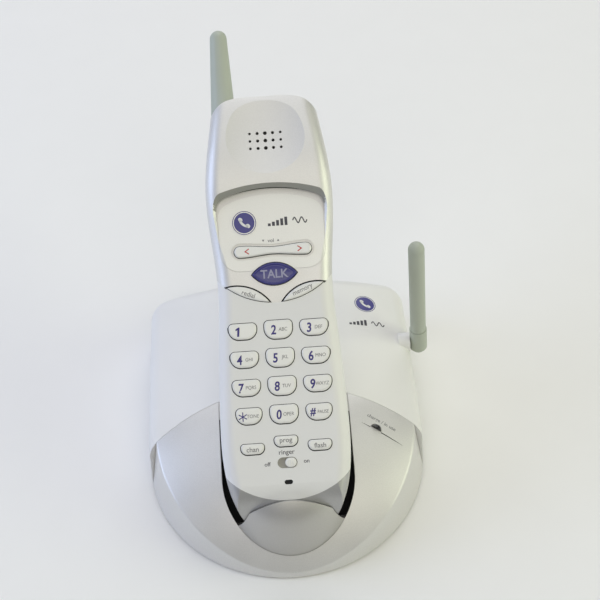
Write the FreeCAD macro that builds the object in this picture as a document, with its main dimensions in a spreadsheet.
import FreeCAD, Part
import math
import os
import Sketcher
from FreeCAD import Placement, Rotation, Vector

# Cordless telephone: a handset standing in a low charging base.
# Row frame: +X to the user's right, +Y away from the user, +Z up, z = 0 on the desk.
# Base pieces are drawn about the base's own middle plane (x = 0).
# Handset pieces are drawn lying flat: x across, y from heel to crown, z out of the keypad.

SIZES = {
    # where the two assemblies sit in the row frame
    "base_shift_x": -3.8,
    "base_shift_y": -17.66,
    "handset_heel_y": -53.0,
    "handset_heel_z": 8.0,
    "handset_tilt": 39.5,
    # base shell
    "base_half_width": 65.5,
    "base_front_centre": -14.5,
    "base_back": 72.0,
    "base_back_corner": 12.5,
    "base_height": 41.0,
    "base_floor": 1.0,
    "base_wall": 2.2,
    "housing_draft": 3.0,
    "housing_round": 8.5,
    "skirt_draft": 10.0,
    "crown_radius": 165.0,
    "crown_front": -6.0,
    "crown_drop_radius": 91.0,
    "split_radius": 111.0,
    "split_y": -2.3,
    "seam": 0.15,
    "cover_thickness": 2.0,
    "shoulder_round": 1.6,
    # well for the handset, and its front lip
    "well_radius": 30.2,
    "well_centre_y": -44.0,
    "well_clearance": 0.4,
    "lip_peak": 11.3,
    "lip_fall": 0.0152,
    "lip_reach": 34.0,
    # small base pieces
    "foot_radius": 5.5,
    "foot_sunk": 0.6,
    "base_screw_head": 2.6,
    "base_screw_head_height": 0.6,
    "base_screw_shank": 1.3,
    "base_screw_length": 8.0,
    "base_screw_low": 0.4,
    "contact_radius": 1.1,
    "contact_spread": 11.0,
    "contact_w": 6.8,
    "contact_reach": 7.0,
    "board_thickness": 1.6,
    "base_board_z": 9.0,
    "base_board_width": 100.0,
    "base_board_length": 58.0,
    "base_board_y": 30.0,
    "base_shield_width": 26.0,
    "base_shield_length": 22.0,
    "base_shield_height": 5.0,
    "line_jack_x": -22.0,
    "line_jack_width": 14.0,
    "line_jack_height": 12.5,
    "line_socket_width": 9.8,
    "line_socket_height": 6.8,
    "line_socket_depth": 11.5,
    "power_jack_x": 22.0,
    "power_jack_width": 10.0,
    "power_jack_height": 11.0,
    "power_bore_radius": 2.8,
    "power_bore_depth": 9.0,
    "jack_depth": 15.0,
    "lens_radius": 2.5,
    "lens_x": 41.7,
    "lens_y": -24.8,
    "lens_z": 33.2,
    "page_button_radius": 5.0,
    "page_button_y": 26.0,
    "page_button_rise": 0.6,
    "page_button_depth": 4.0,
    # base aerial
    "aerial_y": 31.0,
    "aerial_pivot_z": 28.0,
    "aerial_x": 68.6,
    "aerial_rod_radius": 3.8,
    "aerial_rod_length": 59.5,
    "aerial_knuckle_radius": 4.25,
    "aerial_knuckle_length": 15.0,
    "aerial_knuckle_below": 6.0,
    "aerial_pin_radius": 1.5,
    "aerial_pin_length": 12.5,
    "aerial_pin_start": -10.0,
    "aerial_boss_radius": 4.6,
    "aerial_boss_gap": 0.2,
    "aerial_foot_height": 2.0,
    "aerial_foot_taper": 1.4,
    "running_gap": 0.06,
    # handset shells
    "handset_split": 14.0,
    "handset_wall": 1.8,
    "handset_front_round": 6.5,
    "handset_back_round": 8.0,
    "heel_round": 20.0,
    "keypad_face": 30.0,
    "mask_arc_radius": 34.4,
    "mask_arc_low": 98.2,
    "heel_arc_radius": 38.7,
    "heel_arc_low": 11.3,
    "panel_face": 31.0,
    "panel_half_width": 23.5,
    "panel_low": 112.6,
    "panel_high": 146.3,
    "panel_thickness": 0.8,
    "recess_spread": 5.0,
    "recess_height": 5.0,
    "dish_y": 169.7,
    "dish_floor": 32.0,
    "dish_tilt": 9.6,
    "dish_bow_across": 62.0,
    "dish_bow_along": 125.0,
    "dish_backing_radius": 18.0,
    "dish_backing_low": 29.6,
    "earpiece_hole_pitch": 3.4,
    # keys
    "key_pitch_x": 15.7,
    "key_pitch_y": 12.4,
    "key_first_row": 86.25,
    "key_width": 12.3,
    "low_key_pitch_x": 15.4,
    "low_key_width": 11.3,
    "side_key_height": 7.1,
    "middle_key_height": 8.2,
    "small_key_width": 10.2,
    "small_key_height": 4.6,
    "key_round": 2.0,
    "key_deep_round": 4.6,
    "small_key_round": 1.4,
    "small_key_deep_round": 2.8,
    "key_edge_round": 0.5,
    "key_bottom": 26.7,
    "key_top": 30.7,
    "key_flange": 0.9,
    "key_flange_lip": 0.7,
    "key_gap": 0.35,
    "key_travel": 0.9,
    "talk_length": 20.0,
    "talk_height": 9.9,
    "talk_y": 110.8,
    "leaf_arc_radius": 18.5,
    "leaf_centre_x": 17.8,
    "leaf_centre_y": 88.0,
    "rocker_y": 121.2,
    "rocker_length": 34.0,
    "rocker_lobe_radius": 2.5,
    "rocker_waist": 3.0,
    "rocker_low": 29.4,
    "rocker_top": 32.3,
    "rocker_round": 0.8,
    "rocker_well": 1.3,
    "talk_rise": 1.4,
    "leaf_rise": 0.9,
    "call_key_round": 0.45,
    "ringer_slot_y": 27.9,
    "ringer_slot_length": 8.7,
    "ringer_slot_width": 4.8,
    "knob_width": 5.0,
    "knob_travel": 3.1,
    # handset inside
    "board_w": 17.9,
    "mat_thickness": 1.2,
    "mat_pad_radius": 1.9,
    "battery_low": 78.0,
    "battery_length": 50.0,
    "cell_radius": 5.2,
    "door_low": 76.0,
    "door_length": 54.0,
    "door_half_width": 19.0,
    "door_thickness": 1.6,
    "door_w": -1.9,
    "handset_aerial_x": -18.4,
    "handset_aerial_w": 10.5,
    "handset_aerial_root": 5.7,
    "handset_aerial_tip": 3.9,
    "handset_aerial_seat": 184.0,
    "handset_aerial_end": 225.4,
    "case_screw_x": 17.0,
    "case_screw_y": 30.0,
    "case_screw_head": 2.5,
    "case_screw_shank": 1.2,
    "charge_plate_width": 8.0,
    "charge_plate_height": 5.5,
    "charge_plate_thickness": 0.6,
    "voice_hole_y": 19.4,
    "voice_hole_length": 3.7,
    "voice_hole_width": 2.0,
    "receiver_radius": 13.0,
    "receiver_w": 24.0,
    "receiver_height": 5.0,
    "capsule_radius": 3.0,
    "capsule_w": 22.8,
    "capsule_height": 4.0,
    "buzzer_y": 154.0,
    "buzzer_radius": 9.0,
    "buzzer_height": 5.0,
    "sound_slot_length": 14.0,
    "sound_slot_width": 1.4,
    "badge_radius": 5.4,
    "badge_x": -11.8,
    "badge_y": 134.0,
    "badge_thickness": 0.3,
}

# Stations along the handset: distance from the heel, half width, back and front of the section.
STATIONS = (
    (-2.0, 18.4, 0.0, 30.0),
    (12.0, 25.0, 0.0, 30.0),
    (26.0, 28.0, 0.0, 30.0),
    (54.0, 28.2, 0.0, 30.0),
    (84.0, 26.6, 0.0, 30.0),
    (106.0, 25.5, 0.0, 30.9),
    (128.0, 27.2, 0.0, 31.9),
    (148.0, 28.0, 0.0, 35.0),
    (164.0, 26.5, 0.2, 35.2),
    (180.0, 24.0, 1.6, 32.6),
    (194.0, 21.0, 5.0, 26.0),
)

# Plan of the handset's top end, from the left side over to the middle.
CROWN_PLAN = ((-34.0, 168.0), (-25.4, 179.5), (-19.5, 187.0), (0.0, 190.0))

# Profile of the cradle's lip: distance in from the rim, height, and how far an inset lowers it.
LIP_PROFILE = ((0.0, 10.5, 0.0), (0.3, 20.0, 0.5), (1.8, 28.5, 0.7),
               (4.5, 34.8, 0.8), (9.0, 39.9, 1.0), (17.0, 44.0, 1.0))

DIGITS = (("digit_1_key", "digit_2_key", "digit_3_key"),
          ("digit_4_key", "digit_5_key", "digit_6_key"),
          ("digit_7_key", "digit_8_key", "digit_9_key"),
          ("star_key", "digit_0_key", "hash_key"))
SMALL_KEYS = (("channel_key", -14.8, 34.6), ("program_key", 0.0, 37.2), ("flash_key", 14.8, 34.6))
FEET = ((38.0, -44.0), (50.0, 56.0))
BASE_SCREWS = ((52.0, 0.0), (26.0, 62.0))
EARPIECE_RADII = (0.85, 0.7, 0.6)
SOUND_SLOTS = (150.0, 154.0, 158.0)

document = FreeCAD.newDocument("cordless_phone")
sheet = document.addObject("Spreadsheet::Sheet", "Sizes")
for row, (alias, value) in enumerate(SIZES.items(), start=1):
    sheet.set("A%d" % row, alias)
    sheet.set("B%d" % row, str(value))
    sheet.setAlias("B%d" % row, alias)
document.recompute()

nodes = []
X_AXIS, Y_AXIS, Z_AXIS = Vector(1, 0, 0), Vector(0, 1, 0), Vector(0, 0, 1)


def size(alias):
    """Value of one cell of the sheet."""
    return float(sheet.get(alias))


BASE = Placement(Vector(size("base_shift_x"), size("base_shift_y"), 0), Rotation())
HEEL = Placement(Vector(0, size("handset_heel_y"), size("handset_heel_z")),
                 Rotation(X_AXIS, size("handset_tilt")))
HANDSET = BASE.multiply(HEEL)


# ---------------------------------------------------------------- helpers

def bind(item, **expressions):
    """Tie properties to the sheet: each value is an expression in cell names."""
    for name, expression in expressions.items():
        item.setExpression(name, expression)
    return item


def node(item, label, frame, offset=None):
    """Name a finished sub-part and put it in its place."""
    item.Label = label
    item.Placement = frame.multiply(offset or item.Placement)
    nodes.append(item)
    return item


def freeform(label, shape, frame):
    """A sub-part whose surface no primitive or sketch feature gives."""
    item = document.addObject("Part::Feature", label)
    item.Shape = shape
    return node(item, label, frame)


def box(name, corner, length, width, height):
    item = document.addObject("Part::Box", name)
    bind(item, Length=length, Width=width, Height=height)
    item.Placement.Base = Vector(*corner)
    return item


def cylinder(name, start, radius, height, axis=Z_AXIS):
    item = document.addObject("Part::Cylinder", name)
    bind(item, Radius=radius, Height=height)
    item.Placement = Placement(Vector(*start), Rotation(Z_AXIS, axis))
    return item


def cone(name, start, radius, tip_radius, height, axis=Z_AXIS):
    item = document.addObject("Part::Cone", name)
    bind(item, Radius1=radius, Radius2=tip_radius, Height=height)
    item.Placement = Placement(Vector(*start), Rotation(Z_AXIS, axis))
    return item


def sphere(name, centre, radius):
    item = document.addObject("Part::Sphere", name)
    bind(item, Radius=radius)
    item.Placement.Base = Vector(*centre)
    return item


def cut(name, base, tool):
    item = document.addObject("Part::Cut", name)
    item.Base = base
    item.Tool = tool
    return item


def fuse(name, parts):
    item = document.addObject("Part::MultiFuse", name)
    item.Shapes = parts
    return item


def common(name, parts):
    item = document.addObject("Part::MultiCommon", name)
    item.Shapes = parts
    return item


def group(name, parts):
    """Separate solids that share one node."""
    item = document.addObject("Part::Compound", name)
    item.Links = parts
    return item


def rectangle_sketch(body, name, width, height):
    """Rectangle centred on the body's origin; width and height are expressions."""
    sketch = body.newObject("Sketcher::SketchObject", name)
    plane = [f for f in body.Origin.OriginFeatures if f.Role == "XY_Plane"][0]
    sketch.AttachmentSupport = [(plane, "")]
    sketch.MapMode = "FlatFace"
    corners = [Vector(-5, -4, 0), Vector(5, -4, 0), Vector(5, 4, 0), Vector(-5, 4, 0)]
    for i in range(4):
        sketch.addGeometry(Part.LineSegment(corners[i], corners[(i + 1) % 4]), False)
    for i in range(4):
        sketch.addConstraint(Sketcher.Constraint("Coincident", i, 2, (i + 1) % 4, 1))
    for i, kind in enumerate(("Horizontal", "Vertical", "Horizontal", "Vertical")):
        sketch.addConstraint(Sketcher.Constraint(kind, i))
    sketch.addConstraint(Sketcher.Constraint("Symmetric", 0, 1, 1, 2, -1, 1))
    wide = sketch.addConstraint(Sketcher.Constraint("DistanceX", 0, 1, 0, 2, 10.0))
    tall = sketch.addConstraint(Sketcher.Constraint("DistanceY", 1, 1, 1, 2, 8.0))
    sketch.setExpression("Constraints[%d]" % wide, width)
    sketch.setExpression("Constraints[%d]" % tall, height)
    return sketch


def pad(body, sketch, name, length):
    feature = body.newObject("PartDesign::Pad", name)
    feature.Profile = sketch
    feature.setExpression("Length", length)
    document.recompute()
    return feature


def round_edges(body, feature, name, radius, wanted):
    """Fillet the feature's edges that pass the test."""
    picked = ["Edge%d" % (i + 1) for i, edge in enumerate(feature.Shape.Edges) if wanted(edge)]
    fillet = body.newObject("PartDesign::Fillet", name)
    fillet.Base = (feature, picked)
    fillet.setExpression("Radius", radius)
    document.recompute()
    return fillet


def upright(edge):
    ends = [v.Point for v in edge.Vertexes]
    return len(ends) == 2 and abs(ends[0].x - ends[1].x) + abs(ends[0].y - ends[1].y) < 1e-6


def plate_body(label, frame, offset, width, height, thickness, corner):
    """A flat plate with rounded corners, centred on its own origin."""
    body = document.addObject("PartDesign::Body", label)
    sketch = rectangle_sketch(body, label + "_outline", width, height)
    plate = pad(body, sketch, label + "_pad", thickness)
    round_edges(body, plate, label + "_corners", corner, upright)
    return node(body, label, frame, offset)


def wire_of(edges):
    return Part.Wire(Part.__sortEdges__(edges))


def polygon_face(points):
    return Part.Face(Part.makePolygon(list(points) + [points[0]]))


def disc_prism(radius, centre_x, centre_y, low, high):
    return Part.makeCylinder(radius, high - low, Vector(centre_x, centre_y, low))


def straight(a, b):
    return Part.LineSegment(a, b).toShape()


def bow(a, via, b):
    return Part.Arc(a, via, b).toShape()


# ---------------------------------------------------------------- base shells

def base_outline(inset, height):
    """Plan of the base: half a circle in front, straight sides, rounded back corners."""
    half = size("base_half_width") - inset
    middle = size("base_front_centre")
    back = size("base_back") - inset
    corner = size("base_back_corner") - inset
    bend = corner * (1 - math.sqrt(0.5))

    def at(x, y):
        return Vector(x, y, height)

    return Part.Wire([
        bow(at(-half, middle), at(0, middle - half), at(half, middle)),
        straight(at(half, middle), at(half, back - corner)),
        bow(at(half, back - corner), at(half - bend, back - bend), at(half - corner, back)),
        straight(at(half - corner, back), at(corner - half, back)),
        bow(at(corner - half, back), at(bend - half, back - bend), at(-half, back - corner)),
        straight(at(-half, back - corner), at(-half, middle)),
    ])


def drafted_base(draft, inset, low, high):
    """Block whose walls lean in by the draft angle, measured from the desk."""
    slope = math.tan(math.radians(draft))
    rings = [base_outline(inset + slope * z, z) for z in (low, high)]
    return Part.makeLoft(rings, True, True)


def crown(inset):
    """Everything under the crowned top: level along the back, falling round in front."""
    radius = size("crown_radius") - inset
    centre_z = size("base_height") - size("crown_radius")
    pivot_z = size("base_height") - size("crown_drop_radius")
    front = size("crown_front")
    reach = 80.0
    edge_z = centre_z + math.sqrt(radius ** 2 - reach ** 2)
    top = Vector(0, front, centre_z + radius)
    left, right = Vector(-reach, front, edge_z), Vector(reach, front, edge_z)
    low_left, low_right = Vector(-reach, front, pivot_z + 1), Vector(reach, front, pivot_z + 1)
    section = Part.Face(Part.Wire([bow(left, top, right), straight(right, low_right),
                                   straight(low_right, low_left), straight(low_left, left)]))
    level = section.extrude(Vector(0, 100, 0))
    fall = section.revolve(Vector(0, front, pivot_z), X_AXIS, 100)
    return level.fuse(fall).removeSplitter()


def front_disc(gap):
    """Round block that holds the silver front; its rim is the seam with the housing."""
    radius = size("split_radius") - gap
    return disc_prism(radius, 0, size("split_y") - size("split_radius"), -5, 80)


def well_prism(gap, low, high):
    """U-shaped plan of the well, open to the back as far as the seam."""
    radius = size("well_radius") - gap
    middle = size("well_centre_y")
    round_end = disc_prism(radius, 0, middle, low, high)
    sides = Part.makeBox(2 * radius, 60, high - low, Vector(-radius, middle, low))
    return round_end.fuse(sides).removeSplitter()


def rounded_top(solid, radius):
    """Round the edge between the outer walls and the top, not the edge along the seam."""

    def on_rim(edge):
        middle = edge.valueAt((edge.FirstParameter + edge.LastParameter) / 2)
        lowest = min(vertex.Point.z for vertex in edge.Vertexes)
        return lowest > 20 and (middle.y > 60 or abs(middle.x) > 58)

    return solid.makeFillet(radius, [edge for edge in solid.Edges if on_rim(edge)])


def base_block(draft, inset, low):
    return drafted_base(draft, inset, low, 60).common(crown(inset))


def make_base_housing():
    """White back shell: crowned top, side and back walls, and a bulkhead at the seam."""
    wall = size("base_wall")
    low = size("base_floor")
    draft = size("housing_draft")
    outside = base_block(draft, 0, low).cut(front_disc(-size("seam"))).removeSplitter()
    inside = base_block(draft, wall, low - 2).cut(front_disc(-wall)).removeSplitter()
    shell = rounded_top(outside, size("housing_round"))
    hollow = rounded_top(inside, size("housing_round") - wall)
    shell = shell.fuse(aerial_boss()).removeSplitter().cut(hollow)
    tools = [jack_window("line"), jack_window("power"), page_button_hole(), cover_block(-1),
             hinge_cylinder("aerial_pin_radius", "aerial_pin_length")]
    for tool in tools:
        shell = shell.cut(tool)
    return shell


def hinge_cylinder(radius, length):
    """Round bar on the aerial's hinge axis, from inside the housing outwards."""
    bar = Part.makeCylinder(size(radius), size(length), Vector(size("aerial_pin_start"), 0, 0), X_AXIS)
    return bar.transformGeometry(aerial_frame().toMatrix())


def aerial_boss():
    """Round boss that fills the gap between the housing's shoulder and the knuckle."""
    reach = -size("aerial_pin_start") - size("aerial_knuckle_radius") - size("aerial_boss_gap")
    start = Vector(size("aerial_pin_start"), 0, 0)
    boss = Part.makeCylinder(size("aerial_boss_radius"), reach, start, X_AXIS)
    return boss.transformGeometry(aerial_frame().toMatrix())


def jack_window(kind):
    """Hole in the back wall that a jack's body fills."""
    width, tall = size(kind + "_jack_width"), size(kind + "_jack_height")
    corner = Vector(size(kind + "_jack_x") - width / 2, size("base_back") - 8, jack_low())
    return Part.makeBox(width, 12, tall, corner)


def jack_low():
    return size("base_board_z") + size("board_thickness")


def page_button_hole():
    radius = size("page_button_radius") + size("key_gap")
    return disc_prism(radius, 0, size("page_button_y"), 30, 50)


def make_crescent():
    """Silver front cover with its sloping skirt, cut away in a U round the handset."""
    wall = size("base_wall")
    low = size("base_floor")
    draft = size("skirt_draft")
    outside = softened_shoulder(base_block(draft, 0, low)).common(front_disc(0))
    inside = base_block(draft, wall, low - 2)
    shell = outside.cut(inside).cut(well_prism(0, -5, 80))
    return shell.cut(lens_recess())


def softened_shoulder(solid):
    """Round the edge where the dome meets the sloping skirt."""

    def on_shoulder(edge):
        middle = edge.valueAt((edge.FirstParameter + edge.LastParameter) / 2)
        lowest = min(vertex.Point.z for vertex in edge.Vertexes)
        return lowest > 2 and middle.y < 20 and math.hypot(middle.x, middle.y + 14.5) > 55

    return solid.makeFillet(size("shoulder_round"), [e for e in solid.Edges if on_shoulder(e)])


def lens_place():
    """Foot of the indicator, on the right arm of the silver cover."""
    return Vector(size("lens_x"), size("lens_y"), size("lens_z"))


def lens_recess():
    """Round hole for the indicator."""
    middle = lens_place()
    return disc_prism(size("lens_radius") + 0.05, middle.x, middle.y, 25, 45)


def handset_passage(grow, reach):
    """Side view of the room the handset needs: its heel corner, back and keypad face."""
    corner = size("heel_round")
    rear = -size("well_clearance") - grow
    heel = -size("well_clearance") - grow
    face = size("keypad_face") + size("well_clearance") + grow
    centre = Vector(0, corner, size("keypad_face") - corner)
    radius = centre.y - heel
    diagonal = radius * math.sqrt(0.5)
    points = [Vector(0, heel, rear), Vector(0, heel, centre.z),
              Vector(0, centre.y - diagonal, centre.z + diagonal),
              Vector(0, centre.y, face), Vector(0, 120, face), Vector(0, 120, rear)]
    outline = Part.Wire([straight(points[0], points[1]), bow(points[1], points[2], points[3]),
                         straight(points[3], points[4]), straight(points[4], points[5]),
                         straight(points[5], points[0])])
    prism = Part.Face(outline).extrude(Vector(2 * reach, 0, 0))
    prism.translate(Vector(-reach, 0, 0))
    return prism.transformGeometry(HEEL.toMatrix())


def lip_dome(inset):
    """Round cap that the lip is cut from: upright at the rim, closing over the heel."""
    rim = size("well_radius") - 0.2 - inset
    low = size("base_floor") + size("cover_thickness")
    points = [Vector(rim - step, 0, height - inset * share) for step, height, share in LIP_PROFILE]
    curve = Part.BSplineCurve()
    curve.interpolate(Points=points, InitialTangent=Vector(0, 0, 1), FinalTangent=Vector(-1, 0, 0.3))
    top = Vector(0, 0, points[-1].z)
    foot = Vector(rim, 0, low)
    outline = Part.Wire([straight(foot, points[0]), curve.toShape(), straight(points[-1], top),
                         straight(top, Vector(0, 0, low)), straight(Vector(0, 0, low), foot)])
    dome = Part.Face(outline).revolve(Vector(0, 0, 0), Z_AXIS, 360)
    dome.translate(Vector(0, size("well_centre_y"), 0))
    return dome


def below_lip_edge(drop):
    """Room in front of the lip's bell-shaped upper edge, in the handset's plan."""
    peak, fall = size("lip_peak") - drop, size("lip_fall")
    reach = size("lip_reach")
    edge = [Vector(u, peak - fall * u * u, -40) for u in (-reach, -reach / 2, 0, reach / 2, reach)]
    curve = Part.BSplineCurve()
    curve.interpolate(edge)
    far_left, far_right = Vector(-reach, -80, -40), Vector(reach, -80, -40)
    outline = Part.Wire([curve.toShape(), straight(edge[-1], far_right),
                         straight(far_right, far_left), straight(far_left, edge[0])])
    block = Part.Face(outline).extrude(Vector(0, 0, 120))
    return block.transformGeometry(HEEL.toMatrix())


def make_cradle():
    """Silver insert: well floor and walls, and the curved lip that holds the heel."""
    wall = size("base_wall")
    seam = size("seam")
    low = size("base_floor") + size("cover_thickness")
    behind_seam = front_disc(seam)
    plug = well_prism(seam, low, 60).common(crown(0)).common(behind_seam)
    skirt = well_prism(-wall, low, 60).common(crown(wall + 0.1)).common(behind_seam)
    lip = lip_dome(0).common(below_lip_edge(0))
    block = plug.fuse([skirt, lip])
    room = handset_passage(0, 40).common(well_prism(seam, -5, 200))
    hollow = well_prism(wall + seam, low - 5, 60).common(crown(wall))
    hollow = hollow.common(front_disc(wall)).fuse(lip_dome(wall).common(below_lip_edge(wall)))
    hollow = hollow.cut(handset_passage(wall, 40))
    under = disc_prism(24, 0, size("well_centre_y"), low - 1, low + 1)
    cradle = block.cut(room).cut(hollow.fuse(under)).cut(contact_holes())
    return largest(cradle)


def largest(shape):
    return max(shape.Solids, key=lambda solid: solid.Volume)


def contact_line(side, start, end, radius):
    """Round pin along the handset's length, at one charging contact."""
    foot = HEEL.multVec(Vector(side * size("contact_spread"), start, size("contact_w")))
    along = HEEL.Rotation.multVec(Y_AXIS)
    return Part.makeCylinder(radius, end - start, foot, along)


def contact_holes():
    radius = size("contact_radius") + 0.1
    return Part.makeCompound([contact_line(side, -8, 2, radius) for side in (-1, 1)])


def cover_block(lowest):
    """Room of the bottom cover, inside the walls."""
    low, high = size("base_floor") + lowest, size("base_floor") + size("cover_thickness")
    return drafted_base(size("skirt_draft"), size("base_wall") + size("seam"), low, high)


def make_bottom_cover():
    """Flat cover that closes the base from below, with places for feet and screws."""
    return cover_block(0).cut(foot_recesses()).cut(screw_holes())


def foot_places():
    return [(side * x, y) for side in (-1, 1) for x, y in FEET]


def foot_recesses():
    radius = size("foot_radius")
    low = size("base_floor")
    top = low + size("foot_sunk")
    return Part.makeCompound([disc_prism(radius, x, y, low - 1, top) for x, y in foot_places()])


# ---------------------------------------------------------------- base pieces

def make_feet():
    feet = [cylinder("foot", (x, y, 0), "Sizes.foot_radius", "Sizes.base_floor + Sizes.foot_sunk")
            for x, y in foot_places()]
    return group("feet", feet)


def screw_places():
    return [(side * x, y) for side in (-1, 1) for x, y in BASE_SCREWS]


def screw_holes():
    radius = size("base_screw_shank") + 0.05
    return Part.makeCompound([disc_prism(radius, x, y, 0, 5) for x, y in screw_places()])


def make_base_screws():
    """Four cover screws: pan heads under the cover, shanks up into the shells."""
    screws = []
    low = size("base_screw_low")
    for x, y in screw_places():
        head = cylinder("screw_head", (x, y, low), "Sizes.base_screw_head",
                        "Sizes.base_screw_head_height")
        shank = cylinder("screw_shank", (x, y, low + size("base_screw_head_height")),
                         "Sizes.base_screw_shank", "Sizes.base_screw_length")
        screws.append(fuse("screw", [head, shank]))
    return group("screws", screws)


def make_line_jack():
    """Modular telephone socket, open at the back wall."""
    x, back = size("line_jack_x"), back_face(jack_low())
    body = box("line_body", (x - size("line_jack_width") / 2, back - size("jack_depth"), jack_low()),
               "Sizes.line_jack_width", "Sizes.jack_depth", "Sizes.line_jack_height")
    margin = (size("line_jack_height") - size("line_socket_height")) / 2
    mouth = box("line_mouth", (x - size("line_socket_width") / 2, back - size("line_socket_depth"),
                               jack_low() + margin),
                "Sizes.line_socket_width", "Sizes.line_socket_depth + 2", "Sizes.line_socket_height")
    return cut("line_jack", body, mouth)


def back_face(z):
    return size("base_back") - math.tan(math.radians(size("housing_draft"))) * (z + 11)


def make_power_jack():
    """Round socket for the adapter plug."""
    x, back = size("power_jack_x"), back_face(jack_low())
    body = box("power_body", (x - size("power_jack_width") / 2, back - size("jack_depth"), jack_low()),
               "Sizes.power_jack_width", "Sizes.jack_depth", "Sizes.power_jack_height")
    bore = cylinder("power_bore", (x, back + 1 - size("power_bore_depth") - 1,
                                   jack_low() + size("power_jack_height") / 2),
                    "Sizes.power_bore_radius", "Sizes.power_bore_depth + 1", Y_AXIS)
    return cut("power_jack", body, bore)


def make_page_button():
    """Round button on the base's top, with a retaining flange under the shell."""
    low = (0, size("page_button_y"), size("base_height") - size("page_button_depth"))
    cap = cylinder("page_cap", low, "Sizes.page_button_radius",
                   "Sizes.page_button_depth + Sizes.page_button_rise")
    flange = cylinder("page_flange", low, "Sizes.page_button_radius + 1", "1.2")
    return fuse("page_button", [cap, flange])


def make_indicator():
    """Half-round lens that stands on the silver cover."""
    middle = lens_place()
    dome = sphere("lens_dome", middle, "Sizes.lens_radius")
    stem = cylinder("lens_stem", (middle.x, middle.y, middle.z - 4), "Sizes.lens_radius", "4")
    return fuse("lens", [dome, stem])


def aerial_frame():
    """Frame of the hinged aerial: leaning in like the wall it is hinged on."""
    lean = Rotation(Y_AXIS, -size("housing_draft"))
    return Placement(Vector(size("aerial_x"), size("aerial_y"), size("aerial_pivot_z")), lean)


def make_aerial():
    """Rod with a round tip, standing on the knuckle."""
    start = size("aerial_knuckle_length") - size("aerial_knuckle_below")
    length = size("aerial_rod_length") - size("aerial_rod_radius")
    rod = cylinder("rod", (0, 0, start), "Sizes.aerial_rod_radius",
                   "Sizes.aerial_rod_length - Sizes.aerial_rod_radius")
    tip = sphere("rod_tip", (0, 0, start + length), "Sizes.aerial_rod_radius")
    return fuse("aerial", [rod, tip])


def make_knuckle():
    """Short barrel with a tapered foot, drilled across for its pin."""
    low = -size("aerial_knuckle_below")
    barrel = cylinder("barrel", (0, 0, low + size("aerial_foot_height")), "Sizes.aerial_knuckle_radius",
                      "Sizes.aerial_knuckle_length - Sizes.aerial_foot_height")
    foot = cone("barrel_foot", (0, 0, low), "Sizes.aerial_knuckle_radius - Sizes.aerial_foot_taper",
                "Sizes.aerial_knuckle_radius", "Sizes.aerial_foot_height")
    bore = cylinder("pin_bore", (-6, 0, 0), "Sizes.aerial_pin_radius + Sizes.running_gap", "9", X_AXIS)
    return cut("knuckle", fuse("knuckle_body", [barrel, foot]), bore)


def make_aerial_pin():
    """Pin out of the housing wall that the knuckle turns on."""
    return cylinder("pin", (size("aerial_pin_start"), 0, 0), "Sizes.aerial_pin_radius",
                    "Sizes.aerial_pin_length", X_AXIS)


def make_contacts():
    reach, radius = size("contact_reach"), size("contact_radius")
    pins = [contact_line(side, -reach, -0.25, radius) for side in (-1, 1)]
    return Part.makeCompound(pins)


# ---------------------------------------------------------------- handset shells

def handset_section(station, inset):
    """Rounded rectangle across the handset at one station."""
    along, half, back, front = station
    half, back, front = half - inset, back + inset, front - inset
    top_round = size("handset_front_round") - inset * 1.6
    low_round = size("handset_back_round") - inset * 0.8
    cut_off = 1 - math.sqrt(0.5)

    def at(x, z):
        return Vector(x, along, z)

    def corner(x_sign, z, radius, z_sign):
        x = x_sign * half
        return (at(x, z - z_sign * radius),
                at(x - x_sign * radius * cut_off, z - z_sign * radius * cut_off),
                at(x - x_sign * radius, z))

    low_right = corner(1, back, low_round, -1)
    high_right = corner(1, front, top_round, 1)
    high_left = corner(-1, front, top_round, 1)
    low_left = corner(-1, back, low_round, -1)
    return Part.Wire([
        straight(low_right[0], high_right[0]), bow(*high_right),
        straight(high_right[2], high_left[2]), bow(*reversed(high_left)),
        straight(high_left[0], low_left[0]), bow(*low_left),
        straight(low_left[2], low_right[2]), bow(*reversed(low_right)),
    ])


def crown_trim(inset):
    """Plan of the handset's top end: a flat arc with rounded corners."""
    plan = CROWN_PLAN + tuple((-x, y) for x, y in reversed(CROWN_PLAN[:-1]))
    points = [Vector(x, y - inset, -20) for x, y in plan]
    curve = Part.BSplineCurve()
    curve.interpolate(points)
    low_left, low_right = Vector(points[0].x, inset, -20), Vector(points[-1].x, inset, -20)
    outline = Part.Wire([curve.toShape(), straight(points[-1], low_right),
                         straight(low_right, low_left), straight(low_left, points[0])])
    return Part.Face(outline).extrude(Vector(0, 0, 90))


def heel_trim(inset):
    """Side view of the heel: square at the back, a large round towards the keypad."""
    corner = size("heel_round")
    face = size("keypad_face") - inset
    centre_z = size("keypad_face") - corner
    diagonal = (corner - inset) * math.sqrt(0.5)
    points = [Vector(-50, inset, -20), Vector(-50, inset, centre_z),
              Vector(-50, corner - diagonal, centre_z + diagonal), Vector(-50, corner, face),
              Vector(-50, 100, face + 30), Vector(-50, 250, face + 30), Vector(-50, 250, -20)]
    outline = Part.Wire([straight(points[0], points[1]), bow(points[1], points[2], points[3]),
                         straight(points[3], points[4]), straight(points[4], points[5]),
                         straight(points[5], points[6]), straight(points[6], points[0])])
    return Part.Face(outline).extrude(Vector(100, 0, 0))


def handset_block(inset):
    sections = [handset_section(station, inset) for station in STATIONS]
    body = Part.makeLoft(sections, True, False)
    return body.common(crown_trim(inset)).common(heel_trim(inset))


def mask_region(gap):
    """Plan of the silver mask: everything above an arc across the handset."""
    radius = size("mask_arc_radius") + gap
    centre_y = size("mask_arc_low") + size("mask_arc_radius")
    disc = disc_prism(radius, 0, centre_y, 0, 60)
    above = Part.makeBox(90, 120, 60, Vector(-45, centre_y - 14, 0))
    return disc.fuse(above).removeSplitter()


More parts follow.
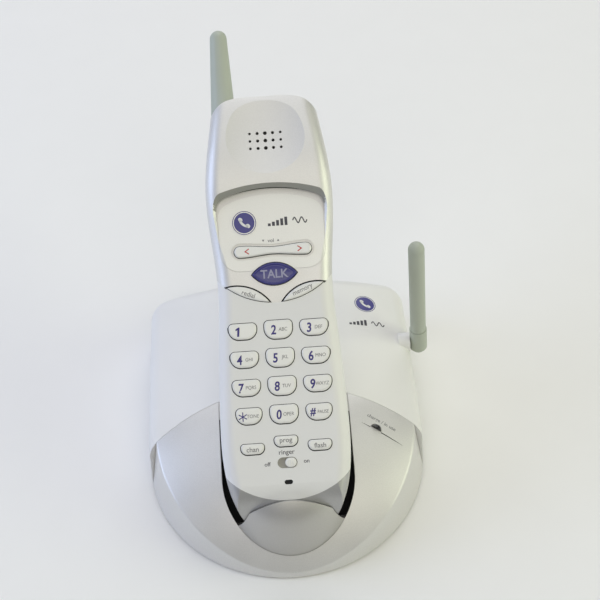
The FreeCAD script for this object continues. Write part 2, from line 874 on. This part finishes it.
def heel_region():
    """Plan of the grey heel: everything below the white shell's round lower edge."""
    radius = size("heel_arc_radius")
    disc = disc_prism(radius, 0, size("heel_arc_low") + radius, -5, 60)
    below = Part.makeBox(90, 60, 65, Vector(-45, -20, -5))
    return below.cut(disc)


def split_block(low, high):
    return Part.makeBox(120, 300, high - low, Vector(-60, -30, low))


def panel_outline(grow, height):
    """Plan of the sunk panel: upright sides, round corners and a crowned top."""
    half = size("panel_half_width") + grow
    low, high = size("panel_low") - grow, size("panel_high") + grow
    shoulder = high - 8.0

    def at(x, y):
        return Vector(x, y, height)

    return Part.Wire([
        straight(at(-half + 9, low), at(half - 9, low)),
        bow(at(half - 9, low), at(half - 2.6, low + 2.6), at(half - 0.3, low + 9)),
        straight(at(half - 0.3, low + 9), at(half, shoulder - 3)),
        bow(at(half, shoulder - 3), at(half - 1.4, shoulder + 2), at(half - 5.5, high - 3.1)),
        bow(at(half - 5.5, high - 3.1), at(0, high), at(5.5 - half, high - 3.1)),
        bow(at(5.5 - half, high - 3.1), at(1.4 - half, shoulder + 2), at(-half, shoulder - 3)),
        straight(at(-half, shoulder - 3), at(0.3 - half, low + 9)),
        bow(at(0.3 - half, low + 9), at(2.6 - half, low + 2.6), at(9 - half, low)),
    ])


def panel_recess():
    """Sloping-sided recess over the panel, deep under the earpiece and shallow below."""
    face, spread = size("panel_face"), size("recess_spread")
    rings = [panel_outline(0.3, face), panel_outline(spread, face + size("recess_height"))]
    return Part.makeLoft(rings, True, True)


def dish():
    """Barrel-shaped tool whose lowest point is the dish's floor, square to the sloping face."""
    along, across = size("dish_bow_along"), size("dish_bow_across")
    lean = math.radians(size("dish_tilt"))
    centre = Vector(0, size("dish_y") + along * math.sin(lean),
                    size("dish_floor") + along * math.cos(lean))
    return Part.makeTorus(along - across, across, centre, X_AXIS)


def earpiece_holes():
    """Five columns of three small holes, the middle column the largest."""
    pitch = size("earpiece_hole_pitch")
    holes = []
    for column in range(-2, 3):
        radius = EARPIECE_RADII[abs(column)]
        for line in (-1, 0, 1):
            holes.append(disc_prism(radius, column * pitch, size("dish_y") + line * pitch, 25, 45))
    return Part.makeCompound(holes)


def key_list():
    """Name, middle and size of every rounded key."""
    keys = []
    for line, names in enumerate(DIGITS):
        y = size("key_first_row") - line * size("key_pitch_y")
        for column, name in zip((-1, 0, 1), names):
            tall = "middle_key" if column == 0 else "side_key"
            width = "low_key" if column and names is DIGITS[-1] else "key"
            pitch = size("low_key_pitch_x" if width == "low_key" else "key_pitch_x")
            keys.append((name, column * pitch, y, width, tall))
    for name, x, y in SMALL_KEYS:
        keys.append((name, x, y, "small_key", "small_key"))
    return keys


def key_hole(x, y, width, tall, corner, deep):
    """Window for one rounded key, a gap larger all round."""
    gap = size("key_gap")
    block = Part.makeBox(width + 2 * gap, tall + 2 * gap, 20,
                         Vector(x - width / 2 - gap, y - tall / 2 - gap, 25))
    high = [edge for edge in block.Edges if upright(edge) and edge.Vertexes[0].Point.y > y]
    deep_edges = [edge for edge in block.Edges if upright(edge) and edge.Vertexes[0].Point.y < y]
    block = block.makeFillet(corner + gap, high)
    deep_edges = [edge for edge in block.Edges if upright(edge) and edge.Vertexes[0].Point.y < y
                  and edge.Vertexes[1].Point.y < y - tall / 2 + 0.1]
    return block.makeFillet(deep + gap, deep_edges)


def slot_prism(x, y, length, width, low, high):
    """Round-ended slot along x."""
    radius = width / 2
    shift = (length - width) / 2
    ends = [disc_prism(radius, x + side * shift, y, low, high) for side in (-1, 1)]
    middle = Part.makeBox(2 * shift, width, high - low, Vector(x - shift, y - radius, low))
    return ends[0].fuse([ends[1], middle]).removeSplitter()


def lens_prism(grow, low, high):
    """Almond plan of the talk key."""
    half, rise = size("talk_length") / 2, size("talk_height") / 2
    radius = (half ** 2 + rise ** 2) / (2 * rise)
    offset = radius - rise
    discs = [disc_prism(radius + grow, 0, size("talk_y") + side * offset, low, high) for side in (-1, 1)]
    return discs[0].common(discs[1])


def leaf_prism(side, grow, low, high, lower_grow=None):
    """Leaf plan of the two keys that follow the mask's lower edge."""
    lower = size("mask_arc_radius") + (grow if lower_grow is None else lower_grow)
    centre_y = size("mask_arc_low") + size("mask_arc_radius")
    under = disc_prism(lower, 0, centre_y, low, high)
    over = disc_prism(size("leaf_arc_radius") + grow, side * size("leaf_centre_x"),
                      size("leaf_centre_y"), low, high)
    return under.common(over)


def rocker_prism(grow, low, high):
    """Dog-bone plan of the volume rocker: round ends joined by two waisted curves."""
    y = size("rocker_y")
    radius = size("rocker_lobe_radius") + grow
    middle = size("rocker_length") / 2 - size("rocker_lobe_radius")
    waist = size("rocker_waist") / 2 + grow
    edges = []
    for side in (1, -1):
        curve = Part.BSplineCurve()
        points = [Vector(-side * middle, y + side * radius, low), Vector(0, y + side * waist, low),
                  Vector(side * middle, y + side * radius, low)]
        curve.interpolate(Points=points, InitialTangent=X_AXIS * side, FinalTangent=X_AXIS * side)
        edges.append(curve.toShape())
        edges.append(bow(points[-1], Vector(side * (middle + radius), y, low),
                         Vector(side * middle, y - side * radius, low)))
    return Part.Face(Part.Wire(edges)).extrude(Vector(0, 0, high - low))


def soft_top(solid, radius):
    """Round the edges of the solid's highest face."""
    top = solid.BoundBox.ZMax
    edges = [e for e in solid.Edges if min(v.Point.z for v in e.Vertexes) > top - 1e-6]
    return solid.makeFillet(radius, edges)


def make_front_shell(block, hollow):
    """White keypad shell with a window for each key, the ringer slot and the voice hole."""
    half_front = block.cut(hollow).common(split_block(size("handset_split"), 60))
    shell = half_front.cut(mask_region(0)).cut(heel_region())
    tools = []
    for name, x, y, width, tall in key_list():
        small = width == "small_key"
        corner = size("small_key_round") if small else size("key_round")
        deep = size("small_key_deep_round") if small else size("key_deep_round")
        tools.append(key_hole(x, y, size(width + "_width"), size(tall + "_height"), corner, deep))
    tools.append(slot_prism(0, size("ringer_slot_y"), size("ringer_slot_length"),
                            size("ringer_slot_width"), 25, 40))
    tools.append(slot_prism(0, size("voice_hole_y"), size("voice_hole_length"),
                            size("voice_hole_width"), 25, 40))
    return largest(shell.cut(Part.makeCompound(tools)))


def make_mask(block, hollow):
    """Silver upper front: earpiece dish, the recess for the panel and the call keys' windows."""
    front = block.cut(hollow).common(split_block(size("handset_split"), 60))
    mask = front.common(mask_region(0)).cut(panel_recess())
    floor_face = size("panel_face") - size("panel_thickness")
    floor_block = Part.Face(panel_outline(2.5, floor_face - 1.6)).extrude(Vector(0, 0, 1.6))
    above_floor = Part.Face(panel_outline(0, floor_face)).extrude(Vector(0, 0, 9))
    mask = mask.fuse(floor_block.common(block)).cut(above_floor)
    gap = size("key_gap")
    backing = disc_prism(size("dish_backing_radius"), 0, size("dish_y"), size("dish_backing_low"), 40)
    mask = mask.fuse(backing.common(block)).removeSplitter()
    tools = [dish(), earpiece_holes(), rocker_prism(gap, 20, 40), lens_prism(gap, 20, 40),
             aerial_seat()]
    tools += [leaf_prism(side, gap, 20, 45, 2.0) for side in (-1, 1)]
    for tool in tools:
        mask = mask.cut(tool)
    return largest(mask)


def make_panel(block):
    """Thin plate in the recess, with the rocker's and talk key's windows."""
    low = size("panel_face") - size("panel_thickness")
    gap = size("key_gap")
    plate = Part.Face(panel_outline(-0.1, low)).extrude(Vector(0, 0, size("panel_thickness")))
    plate = plate.common(block).cut(rocker_prism(size("rocker_well"), 20, 40))
    return largest(plate.cut(lens_prism(gap, 20, 40)))


def make_end_cap(block, hollow):
    front = block.cut(hollow).common(split_block(size("handset_split"), 60))
    return largest(front.common(heel_region()))


def make_back_shell(block, hollow):
    """Back shell with the battery window, screw holes, plate pockets and sound slots."""
    shell = block.cut(hollow).common(split_block(-10, size("handset_split")))
    window = Part.makeBox(34, size("battery_length") - 2, 10, Vector(-17, size("battery_low") + 1, -5))
    tools = [window]
    x, y = size("case_screw_x"), size("case_screw_y")
    tools += [disc_prism(size("case_screw_head") + 0.2, side * x, y, -2, 1.2) for side in (-1, 1)]
    tools += [disc_prism(size("case_screw_shank") + 0.1, side * x, y, -2, 4) for side in (-1, 1)]
    tools += [slot_prism(0, y, size("sound_slot_length"), size("sound_slot_width"), -2, 4)
              for y in SOUND_SLOTS]
    tools += [charge_plate(side) for side in (-1, 1)]
    tools.append(aerial_seat())
    return largest(shell.cut(Part.makeCompound(tools)))


def charge_plate(side):
    width, deep, tall = (size("charge_plate_" + part) for part in ("width", "thickness", "height"))
    return Part.makeBox(width, deep, tall, Vector(side * size("contact_spread") - width / 2, 0, 4))


# ---------------------------------------------------------------- handset pieces

def make_rounded_key(name, x, y, width, tall):
    """Key cap with a deep round lower edge and a retaining flange."""
    body = document.addObject("PartDesign::Body", name)
    wide, high = "Sizes.%s_width" % width, "Sizes.%s_height" % tall
    cap_sketch = rectangle_sketch(body, name + "_cap_outline", wide, high)
    cap = pad(body, cap_sketch, name + "_cap", "Sizes.key_top - Sizes.key_bottom")
    small = width == "small_key"
    deep = "Sizes.small_key_deep_round" if small else "Sizes.key_deep_round"
    upper = "Sizes.small_key_round" if small else "Sizes.key_round"
    cap = round_edges(body, cap, name + "_deep", deep,
                      lambda edge: upright(edge) and edge.Vertexes[0].Point.y < 0)
    cap = round_edges(body, cap, name + "_upper", upper,
                      lambda edge: upright(edge) and min(v.Point.y for v in edge.Vertexes) > 1.5)
    height = size("key_top") - size("key_bottom")
    cap = round_edges(body, cap, name + "_edge", "Sizes.key_edge_round",
                      lambda edge: min(v.Point.z for v in edge.Vertexes) > height - 1e-6)
    flange = rectangle_sketch(body, name + "_flange_outline",
                              wide + " + 2 * Sizes.key_flange_lip", high + " + Sizes.key_flange_lip")
    pad(body, flange, name + "_flange", "Sizes.key_flange")
    return node(body, name, HANDSET, Placement(Vector(x, y, size("key_bottom")), Rotation()))


def key_with_flange(plan, grow_flange, rise):
    """Cap and flange of a key whose plan is a function of growth and height."""
    bottom, flange = size("key_bottom"), size("key_flange")
    cap = plan(0, bottom, size("key_top") + rise)
    skirt = plan(grow_flange, bottom, bottom + flange)
    return soft_top(cap.fuse(skirt).removeSplitter(), size("call_key_round"))


def make_talk_key():
    return key_with_flange(lens_prism, 0.9, size("talk_rise"))


def make_leaf_key(side):
    def plan(grow, low, high):
        return leaf_prism(side, grow - 0.3, low, high)
    return key_with_flange(plan, 0.4, size("leaf_rise"))


def make_rocker():
    """Two-way volume bar on a short pivot post."""
    bar = soft_top(rocker_prism(0, size("rocker_low"), size("rocker_top")), size("rocker_round"))
    stem = Part.makeBox(6, 2.4, 3.0, Vector(-3, size("rocker_y") - 1.2, 26.6))
    return bar.fuse(stem).removeSplitter()


def make_knob():
    """Slide knob of the ringer switch, at its right-hand stop."""
    y, width = size("ringer_slot_y"), size("knob_width")
    middle = size("knob_travel") / 2
    cap = slot_prism(middle, y, width, size("ringer_slot_width") - 0.6, 27.0, 30.6)
    tongue = Part.makeBox(2, 2, 2.5, Vector(middle - 1, y - 1, 24.5))
    return cap.fuse(tongue).removeSplitter()


def make_ringer_switch():
    """Slide switch on the board, open on top for the knob's tongue."""
    y, low = size("ringer_slot_y"), size("board_w") + size("board_thickness")
    body = box("switch_body", (-5, y - 3, low), "10", "6", "6.5")
    slot = box("switch_slot", (-3.6, y - 1.5, low + 3), "7.2", "3", "5")
    return cut("switch", body, slot)


def make_keypad_mat():
    """Rubber mat on the board with a pad under every key."""
    low = size("board_w") + size("board_thickness")
    thick = size("mat_thickness")
    reach = size("key_bottom") - size("key_travel") - 0.3
    sheet_plate = Part.makeBox(44, 61, thick, Vector(-22, 33.5, low))
    upper_plate = Part.makeBox(42, 26, thick, Vector(-21, 94.5, low))
    pads = []
    spots = [(x, y) for name, x, y, width, tall in key_list()]
    spots += [(0, size("talk_y")), (-12, 102.2), (12, 102.2)]
    for x, y in spots:
        pads.append(disc_prism(size("mat_pad_radius"), x, y, low, reach))
    hole = Part.makeBox(12, 8, 10, Vector(-6, size("ringer_slot_y") - 4, low - 1))
    return sheet_plate.fuse([upper_plate] + pads).removeSplitter().cut(hole)


def make_handset_board():
    """Main board, narrower at the waist, notched round the battery's top."""
    low = size("board_w")
    return Part.makeBox(44, 164, size("board_thickness"), Vector(-22, 12, low))


def aerial_seat():
    """Round hole in the top end that the aerial's root fills."""
    start = Vector(size("handset_aerial_x"), size("handset_aerial_seat"), size("handset_aerial_w"))
    return Part.makeCylinder(size("handset_aerial_root") + 0.02, 12, start, Y_AXIS)


def make_battery():
    """Three cells side by side in one sleeve."""
    low, length = size("battery_low"), "Sizes.battery_length"
    radius = size("cell_radius")
    cells = [cylinder("cell", (x * radius * 2, low, 2.4 + radius), "Sizes.cell_radius + 0.05", length,
                      Y_AXIS) for x in (-1, 0, 1)]
    return fuse("battery", cells)


def make_charge_plates():
    return Part.makeCompound([charge_plate(side) for side in (-1, 1)])


def make_handset_screws():
    screws = []
    for side in (-1, 1):
        x, y = side * size("case_screw_x"), size("case_screw_y")
        head = cylinder("case_screw_head", (x, y, 0.2), "Sizes.case_screw_head", "1.0")
        shank = cylinder("case_screw_shank", (x, y, 1.2), "Sizes.case_screw_shank", "11")
        screws.append(fuse("case_screw", [head, shank]))
    return group("case_screws", screws)


def make_handset_aerial():
    """Short flexible aerial, tapering to a round tip, rooted in the back shell's top."""
    x, w = size("handset_aerial_x"), size("handset_aerial_w")
    root, end = size("handset_aerial_seat"), size("handset_aerial_end")
    rod = cone("stub", (x, root, w), "Sizes.handset_aerial_root", "Sizes.handset_aerial_tip",
               "Sizes.handset_aerial_end - Sizes.handset_aerial_tip - Sizes.handset_aerial_seat",
               Y_AXIS)
    tip = sphere("stub_tip", (x, end - size("handset_aerial_tip"), w), "Sizes.handset_aerial_tip")
    return fuse("stub_aerial", [rod, tip])


def build():
    # base
    freeform("base_housing", make_base_housing(), BASE)
    freeform("base_crescent_cover", make_crescent(), BASE)
    freeform("base_cradle", make_cradle(), BASE)
    freeform("base_bottom_cover", make_bottom_cover(), BASE)
    freeform("base_charge_contacts", make_contacts(), BASE)
    node(make_feet(), "base_feet", BASE)
    node(make_base_screws(), "base_screws", BASE)
    node(make_line_jack(), "base_line_jack", BASE)
    node(make_power_jack(), "base_power_jack", BASE)
    node(make_page_button(), "base_page_button", BASE)
    node(make_indicator(), "base_indicator_lens", BASE)
    board = Placement(Vector(0, size("base_board_y"), size("base_board_z")), Rotation())
    plate_body("base_circuit_board", BASE, board, "Sizes.base_board_width", "Sizes.base_board_length",
               "Sizes.board_thickness", "3")
    shield = Placement(Vector(34, 16, jack_low()), Rotation())
    plate_body("base_radio_shield", BASE, shield, "Sizes.base_shield_width",
               "Sizes.base_shield_length", "Sizes.base_shield_height", "1")
    aerial = BASE.multiply(aerial_frame())
    node(make_aerial(), "base_aerial", aerial)
    node(make_knuckle(), "base_aerial_knuckle", aerial)
    node(make_aerial_pin(), "base_aerial_pin", aerial)
    # handset shells
    block = handset_block(0)
    hollow = handset_block(size("handset_wall"))
    freeform("handset_front_shell", make_front_shell(block, hollow), HANDSET)
    freeform("handset_mask", make_mask(block, hollow), HANDSET)
    freeform("handset_panel", make_panel(block), HANDSET)
    freeform("handset_end_cap", make_end_cap(block, hollow), HANDSET)
    freeform("handset_back_shell", make_back_shell(block, hollow), HANDSET)
    # keys and switches
    for name, x, y, width, tall in key_list():
        make_rounded_key(name, x, y, width, tall)
    freeform("talk_key", make_talk_key(), HANDSET)
    freeform("redial_key", make_leaf_key(-1), HANDSET)
    freeform("memory_key", make_leaf_key(1), HANDSET)
    freeform("volume_rocker", make_rocker(), HANDSET)
    freeform("ringer_knob", make_knob(), HANDSET)
    node(make_ringer_switch(), "ringer_switch", HANDSET)
    # inside the handset
    freeform("handset_keypad_mat", make_keypad_mat(), HANDSET)
    freeform("handset_circuit_board", make_handset_board(), HANDSET)
    node(make_battery(), "handset_battery", HANDSET)
    freeform("handset_charge_plates", make_charge_plates(), HANDSET)
    node(make_handset_screws(), "handset_screws", HANDSET)
    node(make_handset_aerial(), "handset_aerial", HANDSET)
    node(cylinder("receiver", (0, size("dish_y"), size("receiver_w")), "Sizes.receiver_radius",
                  "Sizes.receiver_height"), "handset_earpiece", HANDSET)
    node(cylinder("voice_capsule", (0, size("voice_hole_y"), size("capsule_w")),
                  "Sizes.capsule_radius", "Sizes.capsule_height"), "handset_microphone", HANDSET)
    node(cylinder("buzzer", (0, size("buzzer_y"), 2.2), "Sizes.buzzer_radius",
                  "Sizes.buzzer_height"), "handset_ringer", HANDSET)
    node(cylinder("badge_disc", (size("badge_x"), size("badge_y"), size("panel_face")),
                  "Sizes.badge_radius", "Sizes.badge_thickness"), "handset_badge", HANDSET)
    plate_body("handset_radio_shield", HANDSET, Placement(Vector(0, 62, 13.9), Rotation()),
               "34", "26", "4", "1")
    middle = size("door_low") + size("door_length") / 2
    plate_body("handset_battery_door", HANDSET,
               Placement(Vector(0, middle, size("door_w")), Rotation()),
               "2 * Sizes.door_half_width", "Sizes.door_length", "Sizes.door_thickness", "3")


def check_and_export():
    document.recompute()
    for item in document.Objects:
        if "Invalid" in item.State or "Error" in item.State:
            raise RuntimeError("%s failed: %s" % (item.Label, item.State))
    names = [item.Label for item in nodes]
    if len(set(names)) != len(names) or len(names) > 60:
        raise RuntimeError("node names clash or there are too many")
    for item in nodes:
        if item.Shape.isNull() or not item.Shape.isValid():
            raise RuntimeError("%s has no valid shape" % item.Label)
    os.makedirs("parts", exist_ok=True)
    for item in nodes:
        item.Shape.exportStep("parts/%s.step" % item.Label)
    whole = FreeCAD.BoundBox()
    for item in nodes:
        whole.add(item.Shape.BoundBox)
    print("%d nodes, box %s" % (len(nodes), whole))


build()
check_and_export()
